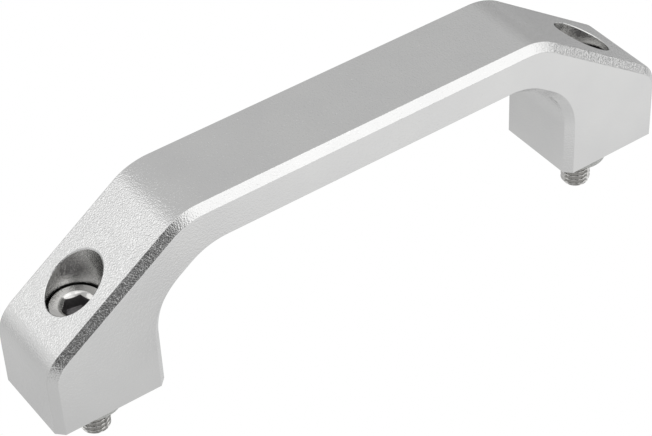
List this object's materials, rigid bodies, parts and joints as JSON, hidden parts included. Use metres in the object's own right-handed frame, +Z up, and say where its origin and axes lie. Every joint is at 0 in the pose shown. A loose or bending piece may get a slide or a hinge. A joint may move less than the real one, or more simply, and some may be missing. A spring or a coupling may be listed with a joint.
{
  "type": "bridge pull handle",
  "caption": "Bridge pull handle with sloping shoulders, fastened from above by socket head cap screws in counterbores and held captive by retaining washers.",
  "frame": {"origin": "in the mounting plane under the feet, half way between the two screws", "axes": "+X along the bar, +Y across it to the far side, +Z up from the feet to the bar"},
  "size_m": [0.14, 0.02, 0.0494],
  "materials": {
    "handle": "fine blasted and clear anodised, satin",
    "screw": "plain stainless steel",
    "washer": "natural polyamide, matt"
  },
  "bodies": {
    "root": {"handle_body": "handle", "left_socket_screw": "screw", "right_socket_screw": "screw", "left_retaining_washer": "washer", "right_retaining_washer": "washer"}
  },
  "joints": []
}
